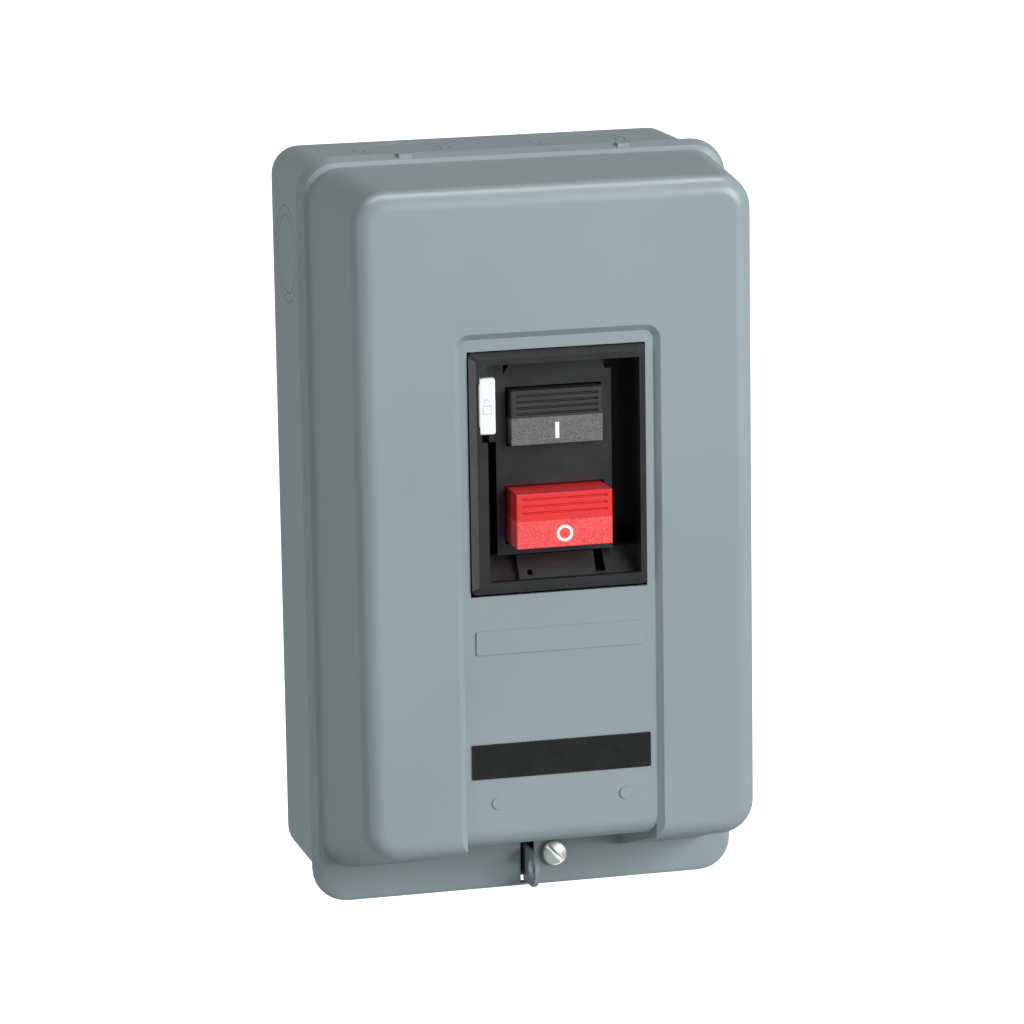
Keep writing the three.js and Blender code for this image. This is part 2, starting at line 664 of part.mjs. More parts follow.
function contactBridge() {
  const seat = BLOCK_FLOOR + GAP + CONTACT_THICK + 1.2 + GAP;
  const bar = box([-3.5, 3.5], [seat + 1, seat + 2.6], [20, 57]);
  const tips = depthRod(3, [seat, seat + 2], 0, 54, 16).add(depthRod(3, [seat, seat + 2], 0, 23, 16));
  return bar.add(tips);
}

// The sliding crossbar that carries the three bridges, with the stem that the rocker pushes.
function contactCarrier() {
  const half = BLOCK_WIDTH / 2 - 4;
  const seat = BLOCK_FLOOR + CONTACT_THICK + 1.2 + 2.6 + 3 * GAP;
  let carrier = box([-half, half], [27, 35], [carrierZ - 5, carrierZ + 5]);
  for (const pole of poles) {
    carrier = carrier.add(box([pole - 4, pole + 4], [seat, 28], [carrierZ - 4, carrierZ + 4]));
  }
  return carrier.add(box([-4, 4], [34, carrierStem], [carrierZ - STEM_HALF, carrierZ + STEM_HALF]));
}

function housing() {
  const half = HOUSING_WIDTH / 2;
  const wall = HOUSING_WALL;
  let made = box([-half, half], [BLOCK_FRONT, HOUSING_FRONT], [HOUSING_BOTTOM, HOUSING_TOP]);
  const inside = [HOUSING_BOTTOM + wall, HOUSING_TOP - wall];
  made = made.subtract(box([wall - half, half - wall], [BLOCK_FRONT - 1, HOUSING_FRONT - wall], inside));
  for (const [z, width] of [[START_Z, buttonWidth], [STOP_Z, stopWidth]]) {
    const x = width / 2 + SLIDE_GAP;
    const window = [z - BUTTON_HEIGHT / 2 - SLIDE_GAP, z + BUTTON_HEIGHT / 2 + SLIDE_GAP];
    made = made.subtract(box([-x, x], [HOUSING_FRONT - wall - 1, HOUSING_FRONT + 1], window));
  }
  made = made.subtract(crossRod(PIN_RADIUS + GAP, [-half - 1, half + 1], ROCKER_DEPTH, rockerZ));
  const low = HOUSING_TOP - NOTCH_DROP;
  const high = HOUSING_TOP + 1;
  const left = NOTCH_INSET - half;
  const notches = [
    [[left, low], [left + 2.8, high], [left, high]],
    [[half - 2.1, low], [half + 1, low], [half + 1, high], [half - 4.4, high]],
  ];
  for (const notch of notches) {
    made = made.subtract(frontPrism(notch, [HOUSING_FRONT - NOTCH_DEPTH, HOUSING_FRONT + 1]));
  }
  const foot = 8;
  for (const side of [-1, 1]) {
    const x = [side * (half - 0.5), side * (half + foot)].sort(ascending);
    made = made.add(box(x, [BLOCK_FRONT, BLOCK_FRONT + 4], [rockerZ + 14, rockerZ + 26]));
    made = made.add(box(x, [BLOCK_FRONT, BLOCK_FRONT + 4], [rockerZ - 26, rockerZ - 14]));
  }
  return made;
}

// A push button with a ribbed upper half, a plain lower half and a stem that meets the rocker.
function button(width, front, stemEnd, z, rows) {
  const half = width / 2;
  const top = z + BUTTON_HEIGHT / 2;
  const bottom = z - BUTTON_HEIGHT / 2;
  const face = { half, top, bottom, corner: 0.8 };
  const edge = 0.5;
  const rim = { half: half - edge, top: top - edge, bottom: bottom + edge, corner: 0.5 };
  let made = loft([
    { ...face, depth: front - BUTTON_LENGTH },
    { ...face, depth: front - edge },
    { ...rim, depth: front },
  ]);
  const pitch = (BUTTON_HEIGHT * 0.42) / rows;
  for (let row = 0; row < rows; row += 1) {
    const line = top - 2 - row * pitch;
    made = made.subtract(box([1.7 - half, half - 1.7], [front - GROOVE, front + 1], [line - 0.4, line]));
  }
  const recess = box([2 - half, half - 2], [front - BUTTON_LENGTH - 1, front - 3], [bottom + 2, top - 2]);
  made = made.subtract(recess);
  return made.add(box([-4, 4], [stemEnd, front - 2], [z - STEM_HALF, z + STEM_HALF]));
}

function rockerPlaces() {
  const dip = rockerArm * Math.sin(rockerTilt);
  const tipGap = ROCKER_THICK / 2 / Math.cos(rockerTilt) + 3 * GAP;
  return { startStem: ROCKER_DEPTH - dip + tipGap, stopStem: ROCKER_DEPTH + dip + tipGap };
}

function rocker() {
  const reach = rockerArm * Math.cos(rockerTilt) + 2;
  let arm = box([-7, 7], [-ROCKER_THICK / 2, ROCKER_THICK / 2], [-reach, reach]);
  arm = arm.add(crossRod(5, [-7, 7], 0, 0)).subtract(crossRod(PIN_RADIUS + GAP, [-8, 8], 0, 0));
  const degrees = (rockerTilt * 180) / Math.PI;
  return arm.rotate([-degrees, 0, 0]).translate([0, -ROCKER_DEPTH, rockerZ]);
}

function rockerPin() {
  const half = HOUSING_WIDTH / 2;
  return crossRod(PIN_RADIUS, [-half - 1, half + 1], ROCKER_DEPTH, rockerZ);
}

// ---- Overload relay ----
function overloadBlock() {
  const x = BLOCK_WIDTH / 2;
  const top = BLOCK_BOTTOM - GAP;
  let block = box([-x, x], [SHEET + GAP, OVERLOAD_FRONT], [OVERLOAD_BOTTOM, top]);
  for (const pole of poles) {
    const bay = [pole - POLE_WIDTH / 2, pole + POLE_WIDTH / 2];
    const heaterBay = [heaterZ() - HEATER_HEIGHT / 2 - 1, heaterZ() + HEATER_HEIGHT / 2 + 1];
    block = block.subtract(box(bay, [OVERLOAD_FRONT - 12, OVERLOAD_FRONT + 1], heaterBay));
    block = block.subtract(box(bay, [20, OVERLOAD_FRONT + 1], [OVERLOAD_BOTTOM - 1, OVERLOAD_BOTTOM + 12]));
  }
  const bar = [top - 9, top + 1];
  return block.subtract(box([-x + 4, x - 4], [OVERLOAD_FRONT - 10, OVERLOAD_FRONT + 1], bar));
}

function heaterZ() {
  return OVERLOAD_BOTTOM + 15 + HEATER_HEIGHT / 2;
}

function heater() {
  const z = heaterZ();
  const rear = OVERLOAD_FRONT - 12 + GAP;
  const strap = box([-6.5, 6.5], [rear, rear + 2], [z - HEATER_HEIGHT / 2, z + HEATER_HEIGHT / 2]);
  const element = [z - 9, z + 9];
  const web = box([-2, 2], [rear, rear + 5], element);
  return strap.add(uprightRod(4.4, element, 0, rear + 5, 16)).add(web);
}

function terminalScrew(seat) {
  return slottedScrew(3.4, 1.6, seat, 1.4, 2.4);
}

function loadTerminal() {
  const rear = 20 + GAP;
  const low = OVERLOAD_BOTTOM + 0.5;
  const bar = box([-CONTACT_WIDTH / 2, CONTACT_WIDTH / 2], [rear, rear + CONTACT_THICK], [low, low + 11]);
  return bar.subtract(depthRod(1.9, [rear - 1, rear + 4], 0, OVERLOAD_BOTTOM + 6, 12));
}

// The bar that the heaters' bimetals push, hinged at its upper edge.
function tripBar() {
  const x = BLOCK_WIDTH / 2 - 5;
  const z = BLOCK_BOTTOM - 3.6;
  const bar = box([-x, x], [OVERLOAD_FRONT - 3, OVERLOAD_FRONT - 1], [z - 4.5, z + 0.5]);
  return bar.add(crossRod(1.6, [-x, x], OVERLOAD_FRONT - 2, z, 12));
}

// ---- Holding magnet ----
// A U-shaped yoke that stands on the box's back, with the coil round its lower limb.
function magnetYoke() {
  const rear = SHEET + GAP;
  const front = rear + MAGNET_REACH;
  const top = MAGNET_Z + MAGNET_HALF;
  const spine = box([-7, 7], [rear, rear + 4], [MAGNET_Z - MAGNET_HALF, top]);
  const core = depthRod(CORE_RADIUS, [rear, front], 0, MAGNET_Z - COIL_DROP, 20);
  const limb = box([-7, 7], [rear, front], [top - 5, top]);
  return spine.add(core).add(limb);
}

function coil() {
  const rear = SHEET + GAP + 4 + GAP;
  const front = rear + COIL_HEIGHT;
  const z = MAGNET_Z - COIL_DROP;
  const flange = (depth) => depthRod(COIL_RADIUS + 2, [depth, depth + 2], 0, z, 28);
  const winding = depthRod(COIL_RADIUS, [rear, front], 0, z, 28);
  const bore = depthRod(CORE_RADIUS + GAP, [rear - 1, front + 1], 0, z, 20);
  return winding.add(flange(rear)).add(flange(front - 2)).subtract(bore);
}

function armature() {
  const seat = SHEET + GAP + MAGNET_REACH + GAP;
  const top = MAGNET_Z + MAGNET_HALF + 1;
  const plate = box([-7, 7], [seat, seat + 3], [MAGNET_Z - MAGNET_HALF, top]);
  return plate.add(crossRod(1.8, [-9, 9], seat + 1.8, top, 12));
}

// ---- Assembly ----
function at(mesh, x, y, z) {
  mesh.position.set(x, y, z);
  return mesh;
}

const starter = new THREE.Group();

const enclosure = new THREE.Group();
enclosure.add(part("back_box", boxShell(), greyPaint()));
enclosure.add(part("padlock_tab", padlockTab(), greyPaint()));
enclosure.add(part("screw_bracket", screwBracket(), zinc()));
enclosure.add(at(part("cover_hook_left", coverHook(), greyPaint()), -HOOK_X, 0, 0));
enclosure.add(at(part("cover_hook_right", coverHook(), greyPaint()), HOOK_X, 0, 0));
const lugX = -halfWidth + 16;
const lugZ = -halfHeight + 24;
enclosure.add(at(part("ground_lug", groundLug(), brass()), lugX, 0, lugZ));
const groundScrew = slottedScrew(3.2, 1.6, panFront + 4.5 + GAP, 3, 2.2);
enclosure.add(at(part("ground_screw", groundScrew, paint(0x3f8f4f, 0.35, 0.6)), lugX, 0, lugZ + 13));
starter.add(enclosure);

const door = new THREE.Group();
door.add(part("cover", coverShell(), greyPaint()));
door.add(part("label", label(), paint(0x1b1b1c, 0.4, 0)));
door.add(part("cover_screw", coverScrew(), zinc()));
starter.add(door);

const works = new THREE.Group();
works.add(part("contact_block", contactBlock(), phenolic()));
works.add(part("mechanism_housing", housing(), blackPlastic()));
works.add(part("bezel", bezel(), blackPlastic()));
works.add(part("lockout_slide", lockoutSlide(), paint(0xe9ebe6, 0.4, 0)));
works.add(part("contact_carrier", contactCarrier(), paint(0x6b4a33, 0.6, 0)));
const stems = rockerPlaces();
const startButton = button(buttonWidth, START_FRONT, stems.startStem, START_Z, 4);
const stopButton = button(stopWidth, stopFront, stems.stopStem, STOP_Z, 3);
works.add(part("start_button", startButton, blackPlastic()));
works.add(part("stop_button", stopButton, paint(0xc8202c, 0.4, 0)));
works.add(part("rocker", rocker(), steel()));
works.add(part("rocker_pin", rockerPin(), steel()));
mountingPlaces().forEach(([x, z], index) => {
  works.add(at(part(`mounting_screw_${index + 1}`, mountingScrew(), zinc()), x, 0, z));
});
works.add(part("overload_block", overloadBlock(), phenolic()));
works.add(part("trip_bar", tripBar(), paint(0x8a2f2a, 0.5, 0)));
poles.forEach((x, index) => {
  const number = index + 1;
  const lineSeat = BLOCK_FLOOR + CONTACT_THICK + 2 * GAP;
  const loadSeat = 20 + CONTACT_THICK + 2 * GAP;
  const loadZ = OVERLOAD_BOTTOM + 6;
  works.add(at(part(`line_contact_${number}`, lineContact(), copper()), x, 0, 0));
  works.add(at(part(`load_contact_${number}`, loadContact(), copper()), x, 0, 0));
  works.add(at(part(`contact_bridge_${number}`, contactBridge(), copper()), x, 0, 0));
  works.add(at(part(`line_screw_${number}`, terminalScrew(lineSeat), zinc()), x, 0, 76));
  works.add(at(part(`load_terminal_${number}`, loadTerminal(), copper()), x, 0, 0));
  works.add(at(part(`load_screw_${number}`, terminalScrew(loadSeat), zinc()), x, 0, loadZ));
  works.add(at(part(`heater_${number}`, heater(), steel()), x, 0, 0));
});
starter.add(works);

const magnet = new THREE.Group();
magnet.position.x = MAGNET_X;
magnet.add(part("magnet_yoke", magnetYoke(), steel()));
magnet.add(part("holding_coil", coil(), paint(0x7a3b1e, 0.5, 0.1)));
magnet.add(part("armature", armature(), steel()));
starter.add(magnet);

export default starter;
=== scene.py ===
# %% [markdown]
# # A push-button motor starter
# A steel box with a drawn cover, a black bezel and two latching buttons. The solid parts come
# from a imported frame, and what is added here is placed from their boxes. Only small sizes,
# such as a groove or a sign, are typed in. This lesson gives each part its finish, rounds its
# edges, and builds what repeats by rule.

# %% Load the frame
import json
import math

import bmesh
import bpy
from mathutils import Matrix, Vector

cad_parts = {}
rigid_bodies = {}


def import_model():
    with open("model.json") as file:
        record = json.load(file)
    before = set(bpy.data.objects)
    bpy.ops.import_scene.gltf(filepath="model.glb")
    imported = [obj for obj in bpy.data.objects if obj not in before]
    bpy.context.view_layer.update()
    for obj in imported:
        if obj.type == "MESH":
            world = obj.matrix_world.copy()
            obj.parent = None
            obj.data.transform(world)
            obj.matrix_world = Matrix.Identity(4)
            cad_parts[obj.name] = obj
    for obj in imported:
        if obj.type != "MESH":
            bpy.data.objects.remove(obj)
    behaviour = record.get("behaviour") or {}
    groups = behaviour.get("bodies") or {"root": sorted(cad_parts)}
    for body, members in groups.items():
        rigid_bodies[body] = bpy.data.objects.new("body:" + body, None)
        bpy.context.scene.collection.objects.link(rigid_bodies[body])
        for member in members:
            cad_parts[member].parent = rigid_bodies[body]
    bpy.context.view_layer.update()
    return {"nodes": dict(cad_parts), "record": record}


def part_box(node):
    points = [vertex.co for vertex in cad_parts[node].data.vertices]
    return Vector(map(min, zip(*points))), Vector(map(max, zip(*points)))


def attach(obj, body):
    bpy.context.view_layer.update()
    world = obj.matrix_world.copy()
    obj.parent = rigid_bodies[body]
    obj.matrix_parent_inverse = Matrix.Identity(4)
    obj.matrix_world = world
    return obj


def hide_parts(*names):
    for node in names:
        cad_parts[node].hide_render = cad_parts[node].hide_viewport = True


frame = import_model()
MM = 0.001


def placed(name, data):
    """An object in the scene, for a camera, a light or a mesh."""
    made = bpy.data.objects.new(name, data)
    bpy.context.scene.collection.objects.link(made)
    return made


# %% [markdown]
# ## The camera
# A long lens stands far back, a little to the left and above, so the edges of the box stay
# almost parallel. Its direction is built from a yaw, a pitch and a roll, because those are
# the numbers that someone standing at the camera would change one at a time.

# %% Camera
CAMERA_PLACE = Vector((-0.4360, -1.7312, 0.3702))
CAMERA_YAW, CAMERA_PITCH, CAMERA_ROLL = (math.radians(a) for a in (14.508, 11.97, -0.907))
CAMERA_LENS, SENSOR_WIDTH = 176.3, 36
CLIP_NEAR, CLIP_FAR = 0.05, 100


def camera_turn(yaw, pitch, roll):
    """The camera's axes as a rotation matrix."""
    ahead = Vector((math.sin(yaw) * math.cos(pitch), math.cos(yaw) * math.cos(pitch), -math.sin(pitch)))
    level = Vector((math.cos(yaw), -math.sin(yaw), 0))
    above = level.cross(ahead)
    right = math.cos(roll) * level + math.sin(roll) * above
    up = math.cos(roll) * above - math.sin(roll) * level
    return Matrix((right, up, -ahead)).transposed().to_4x4()


lens = bpy.data.cameras.new("product_camera")
lens.lens, lens.sensor_width = CAMERA_LENS, SENSOR_WIDTH
lens.clip_start, lens.clip_end = CLIP_NEAR, CLIP_FAR
camera = placed("product_camera", lens)
camera.matrix_world = Matrix.Translation(CAMERA_PLACE) @ camera_turn(CAMERA_YAW, CAMERA_PITCH, CAMERA_ROLL)
bpy.context.scene.camera = camera
print("camera stands", round(CAMERA_PLACE.length, 3), "m from the wall face's centre")

# %% [markdown]
# ## Light and floor
# Product pictures are lit by large soft panels. An even pale world, a little cool, fills the
# shadows, one broad panel in front and to the right lifts the face, and a weak one keeps the
# left side from going dull. A strip overhead only gives reflections, and draws the bright
# line along the rounded top edge. The view transform is set to Standard, so a white floor
# comes out white. The floor is plain.

# %% Light, world and floor
bpy.context.scene.view_settings.view_transform = "Standard"
WORLD_LEVEL = 0.40
WORLD_TINT = (0.88, 1.0, 1.0, 1)
world = bpy.data.worlds.new("pale_studio")
world.use_nodes = True
world.node_tree.nodes["Background"].inputs["Color"].default_value = WORLD_TINT
world.node_tree.nodes["Background"].inputs["Strength"].default_value = WORLD_LEVEL
bpy.context.scene.world = world


def softbox(name, place, target, size, power, reflections_only=False):
    """A rectangular panel at a place, facing a target."""
    light = bpy.data.lights.new(name, "AREA")
    light.shape = "RECTANGLE"
    light.size, light.size_y, light.energy = size[0], size[1], power
    panel = placed(name, light)
    toward = Vector(target) - Vector(place)
    panel.matrix_world = Matrix.Translation(place) @ toward.to_track_quat("-Z", "Y").to_matrix().to_4x4()
    panel.visible_camera = False
    panel.visible_diffuse = not reflections_only
    return panel


softbox("front_panel", place=(1.7, -2.2, 0.9), target=(0, 0, 0), size=(1.6, 1.6), power=98)
softbox("top_strip", place=(0, -0.1, 1.7), target=(0, -0.1, 0), size=(1.8, 0.5), power=30,
        reflections_only=True)
softbox("left_strip", place=(-1.9, -0.7, 0.0), target=(0, -0.1, 0), size=(0.5, 1.8), power=7)

FLOOR_DROP, FLOOR_REACH = 0.6, 30
FLOOR_SIGNS = ((-1, -1), (1, -1), (1, 1), (-1, 1))
floor_corners = [(x * FLOOR_REACH, y * FLOOR_REACH, -FLOOR_DROP) for x, y in FLOOR_SIGNS]
floor_mesh = bpy.data.meshes.new("floor")
floor_mesh.from_pydata(floor_corners, [], [(0, 1, 2, 3)])
floor = placed("floor", floor_mesh)
floor.visible_diffuse = False
floor.visible_glossy = False
print("floor lies", FLOOR_DROP, "m under the starter's middle")

# %% [markdown]
# ## Building a finish
# A finish is a Principled shader whose colour, roughness and bump all come from noise on
# Object coordinates. Those are metres in the starter's own frame, so a scale of 1000 is one
# cell a millimetre, and the pattern stays put whichever side is looked at.

# %% Shader helpers
COAT_ROUGHNESS = 0.22


def start_material(name, metallic=0.0, coat=0.0):
    """A material, its nodes and links, and its shader."""
    material = bpy.data.materials.new(name)
    material.use_nodes = True
    nodes, links = material.node_tree.nodes, material.node_tree.links
    shader = nodes["Principled BSDF"]
    shader.inputs["Metallic"].default_value = metallic
    shader.inputs["Coat Weight"].default_value = coat
    shader.inputs["Coat Roughness"].default_value = COAT_ROUGHNESS
    return material, nodes, links, shader


def pattern(nodes, links, scale, detail=3.0, stretch=(1, 1, 1)):
    """A noise pattern over the piece, as a number from 0 to 1."""
    place = nodes.new("ShaderNodeTexCoord")
    mapping = nodes.new("ShaderNodeMapping")
    mapping.inputs["Scale"].default_value = stretch
    noise = nodes.new("ShaderNodeTexNoise")
    noise.inputs["Scale"].default_value = scale
    noise.inputs["Detail"].default_value = detail
    links.new(place.outputs["Object"], mapping.inputs["Vector"])
    links.new(mapping.outputs["Vector"], noise.inputs["Vector"])
    return noise.outputs["Fac"]


def spread(nodes, links, value, low, high, start=0.35, end=0.65):
    """That number stretched over a range."""
    ranged = nodes.new("ShaderNodeMapRange")
    ranged.inputs["From Min"].default_value, ranged.inputs["From Max"].default_value = start, end
    ranged.inputs["To Min"].default_value, ranged.inputs["To Max"].default_value = low, high
    links.new(value, ranged.inputs["Value"])
    return ranged.outputs["Result"]


def mixed(nodes, links, factor, first, second):
    """One colour or another, by a factor. Either may be a tuple or a socket."""
    mix = nodes.new("ShaderNodeMix")
    mix.data_type = "RGBA"
    links.new(factor, mix.inputs["Factor"])
    for socket, colour in ((mix.inputs["A"], first), (mix.inputs["B"], second)):
        if isinstance(colour, tuple):
            socket.default_value = (*colour, 1)
        else:
            links.new(colour, socket)
    return mix.outputs["Result"]


def bumped(nodes, links, height, depth_mm, strength=1.0, under=None):
    """A normal from a height pattern, laid over another if there is one."""
    bump = nodes.new("ShaderNodeBump")
    bump.inputs["Distance"].default_value = depth_mm * MM
    bump.inputs["Strength"].default_value = strength
    links.new(height, bump.inputs["Height"])
    if under is not None:
        links.new(under, bump.inputs["Normal"])
    return bump.outputs["Normal"]


def above_height(nodes, links, height):
    """1 over a height in the starter's frame, and 0 under it."""
    place = nodes.new("ShaderNodeTexCoord")
    split = nodes.new("ShaderNodeSeparateXYZ")
    compare = nodes.new("ShaderNodeMath")
    compare.operation = "GREATER_THAN"
    compare.inputs[1].default_value = height
    links.new(place.outputs["Object"], split.inputs["Vector"])
    links.new(split.outputs["Z"], compare.inputs[0])
    return compare.outputs["Value"]


def plain_finish(name, pale, deep, rough, metallic=0.0, coat=0.0, mottle=60, grain=1800, depth_mm=0.01,
                 stretch=(1, 1, 1)):
    """A finish from two close shades, a range of roughness and a fine grain."""
    material, nodes, links, shader = start_material(name, metallic, coat)
    cloud = pattern(nodes, links, mottle)
    fine = pattern(nodes, links, grain, detail=2.0, stretch=stretch)
    links.new(mixed(nodes, links, spread(nodes, links, cloud, 0, 1), deep, pale), shader.inputs["Base Color"])
    links.new(spread(nodes, links, fine, rough[0], rough[1]), shader.inputs["Roughness"])
    links.new(bumped(nodes, links, fine, depth_mm), shader.inputs["Normal"])
    return material


print("shader helpers are ready")

# %% [markdown]
# ## Enamel
# The box is painted and baked in a grey-blue enamel. Close up it isn't flat: the wet coat
# pulls into the shallow dimples called orange peel, a millimetre or two across, and it varies
# a little in shade and gloss. Three noises give that: a broad one for shade and gloss, one
# for the peel, and a fine one for specks of dust in the coat.

# %% Enamel
ENAMEL_DEEP, ENAMEL_PALE, ENAMEL_SPECK = (0.236, 0.285, 0.297), (0.252, 0.303, 0.315), (0.34, 0.385, 0.395)
ENAMEL_COAT, ENAMEL_SPECULAR = 0.05, 0.38


def enamel():
    """Baked grey enamel with orange peel."""
    material, nodes, links, shader = start_material("grey_enamel", coat=ENAMEL_COAT)
    shader.inputs["Specular IOR Level"].default_value = ENAMEL_SPECULAR
    cloud = pattern(nodes, links, scale=14, detail=4.0)
    peel = pattern(nodes, links, scale=620, detail=1.5)
    dust = pattern(nodes, links, scale=3200, detail=2.0)
    shade = mixed(nodes, links, spread(nodes, links, cloud, 0, 1), ENAMEL_DEEP, ENAMEL_PALE)
    speck = spread(nodes, links, dust, 0, 0.35, start=0.62, end=0.80)
    links.new(mixed(nodes, links, speck, shade, ENAMEL_SPECK), shader.inputs["Base Color"])
    links.new(spread(nodes, links, cloud, 0.33, 0.43), shader.inputs["Roughness"])
    wet = bumped(nodes, links, peel, depth_mm=0.02, strength=0.5)
    links.new(bumped(nodes, links, dust, depth_mm=0.004, strength=0.4, under=wet), shader.inputs["Normal"])
    return material


print("enamel goes from", ENAMEL_DEEP, "to", ENAMEL_PALE)

# %% [markdown]
# ## Rubbed buttons
# Each button is one moulding with two faces. It is smooth and grooved above, and stippled
# and rubbed pale below, where a finger presses. Height on the button picks which.

# %% Button plastic
def button_finish(name, smooth, rubbed_deep, rubbed_pale, split_height):
    """A moulded button, smooth above a height and rubbed pale below it."""
    material, nodes, links, shader = start_material(name)
    grain = pattern(nodes, links, scale=2600)
    patches = pattern(nodes, links, scale=420)
    upper = above_height(nodes, links, split_height)
    stipple = spread(nodes, links, grain, 0, 1, start=0.38, end=0.62)
    rubbed = mixed(nodes, links, stipple, rubbed_deep, rubbed_pale)
    wear = spread(nodes, links, patches, 0, 0.6, start=0.45, end=0.75)
    worn = mixed(nodes, links, wear, rubbed, rubbed_pale)
    links.new(mixed(nodes, links, upper, worn, smooth), shader.inputs["Base Color"])
    links.new(spread(nodes, links, grain, 0.42, 0.62), shader.inputs["Roughness"])
    links.new(bumped(nodes, links, grain, depth_mm=0.03, strength=0.7), shader.inputs["Normal"])
    return material


print("button finish is ready")

# %% [markdown]
# ## The set of finishes
# The rest need only two close shades, a range of roughness and a grain, so one table makes
# them. The bezel and housing are moulded in black: nearly all of what is seen is reflection,
# so the roughness matters more than the colour. A grain stretched along one axis reads as
# brushed or rolled metal. The floor's paper also glows, so that no shadow greys it.

# %% Finishes
FINISH_TABLE = {
    "zinc_plate": dict(pale=(0.97, 0.97, 0.94), deep=(0.88, 0.88, 0.86), rough=(0.34, 0.50), metallic=1.0,
                       mottle=900, grain=2600, depth_mm=0.006),
    "brass": dict(pale=(0.78, 0.62, 0.30), deep=(0.62, 0.47, 0.20), rough=(0.26, 0.42), metallic=1.0,
                  mottle=300, grain=2400, depth_mm=0.006),
    "green_screw": dict(pale=(0.09, 0.30, 0.13), deep=(0.05, 0.21, 0.09), rough=(0.28, 0.42), metallic=0.7,
                        mottle=500, grain=2200, depth_mm=0.006),
    "black_plastic": dict(pale=(0.023, 0.023, 0.024), deep=(0.017, 0.017, 0.018), rough=(0.17, 0.26),
                          mottle=90, grain=1100, depth_mm=0.002),
    "white_plastic": dict(pale=(0.89, 0.90, 0.87), deep=(0.85, 0.86, 0.83), rough=(0.25, 0.38),
                          mottle=160, grain=1400, depth_mm=0.008),
    "label_black": dict(pale=(0.010, 0.010, 0.010), deep=(0.006, 0.006, 0.006), rough=(0.18, 0.28),
                        mottle=120, grain=900, depth_mm=0.005),
    "phenolic": dict(pale=(0.030, 0.027, 0.025), deep=(0.018, 0.016, 0.015), rough=(0.38, 0.58),
                     mottle=220, grain=1200, depth_mm=0.02),
    "carrier_brown": dict(pale=(0.15, 0.070, 0.036), deep=(0.10, 0.046, 0.024), rough=(0.36, 0.55),
                          mottle=260, grain=1300, depth_mm=0.02),
    "trip_red": dict(pale=(0.30, 0.040, 0.030), deep=(0.22, 0.028, 0.022), rough=(0.34, 0.50),
                     mottle=200, grain=1500, depth_mm=0.01),
    "steel": dict(pale=(0.60, 0.61, 0.62), deep=(0.44, 0.45, 0.46), rough=(0.24, 0.44), metallic=1.0,
                  mottle=140, grain=900, depth_mm=0.01, stretch=(1, 1, 9)),
    "coil_tape": dict(pale=(0.27, 0.10, 0.035), deep=(0.15, 0.050, 0.018), rough=(0.22, 0.40), coat=0.4,
                      mottle=240, grain=1500, depth_mm=0.02),
    "copper": dict(pale=(0.80, 0.42, 0.26), deep=(0.60, 0.28, 0.16), rough=(0.22, 0.40), metallic=1.0,
                   mottle=180, grain=1000, depth_mm=0.006, stretch=(9, 1, 1)),
    "heater_alloy": dict(pale=(0.56, 0.49, 0.40), deep=(0.36, 0.29, 0.27), rough=(0.28, 0.46), metallic=1.0,
                         mottle=150, grain=1100, depth_mm=0.01, stretch=(1, 1, 7)),
    "white_print": dict(pale=(0.86, 0.86, 0.85), deep=(0.78, 0.78, 0.77), rough=(0.45, 0.62),
                        mottle=900, grain=3000, depth_mm=0.01),
    "slide_print": dict(pale=(0.60, 0.60, 0.58), deep=(0.50, 0.50, 0.48), rough=(0.45, 0.60),
                        mottle=900, grain=3000, depth_mm=0.01),
    "floor_paper": dict(pale=(0.92, 0.92, 0.92), deep=(0.90, 0.90, 0.90), rough=(0.80, 0.95),
                        mottle=2, grain=40, depth_mm=0.05),
}
RUBBED_SHARE = 0.50


def split_height(node):
    """The height on a button where the ribs end."""
    low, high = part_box(node)
    return low.z + (high.z - low.z) * RUBBED_SHARE


finishes = {name: plain_finish(name, **settings) for name, settings in FINISH_TABLE.items()}
finishes["grey_paint"] = enamel()
finishes["start_black"] = button_finish("start_black", smooth=(0.012, 0.012, 0.0125),
                                        rubbed_deep=(0.030, 0.030, 0.031), rubbed_pale=(0.17, 0.17, 0.166),
                                        split_height=split_height("start_button"))
finishes["stop_red"] = button_finish("stop_red", smooth=(0.68, 0.012, 0.014),
                                     rubbed_deep=(0.68, 0.022, 0.026), rubbed_pale=(0.86, 0.095, 0.095),
                                     split_height=split_height("stop_button"))
FLOOR_GLOW = 1.0
paper = finishes["floor_paper"].node_tree.nodes["Principled BSDF"]
paper.inputs["Emission Color"].default_value = (1, 1, 1, 1)
paper.inputs["Emission Strength"].default_value = FLOOR_GLOW
floor.data.materials.append(finishes["floor_paper"])
print("finishes:", len(finishes))

# %% [markdown]
# ## From a hard-edged solid to a finished piece
# A solid from CAD has knife edges, and nothing real does. A copy of each solid is merged
# into one skin, its flat faces are joined, and a Bevel modifier rounds every edge sharper
# than a limit. Weighted normals then keep the broad faces flat while the rounds shade softly.

# %% Finishing helpers
BODY_OF = {node: body for body, nodes in frame["record"]["behaviour"]["bodies"].items() for node in nodes}
SLOT_OF = {row["node"]: row["material_slot"] for row in frame["record"]["subparts"]}
MERGE_DISTANCE = 5e-6
FLAT_ANGLE = math.radians(0.2)


def settle(piece):
    """Turns a piece's modifiers into plain mesh."""
    graph = bpy.context.evaluated_depsgraph_get()
    made = bpy.data.meshes.new_from_object(piece.evaluated_get(graph), depsgraph=graph)
    piece.modifiers.clear()
    piece.data = made
    return piece


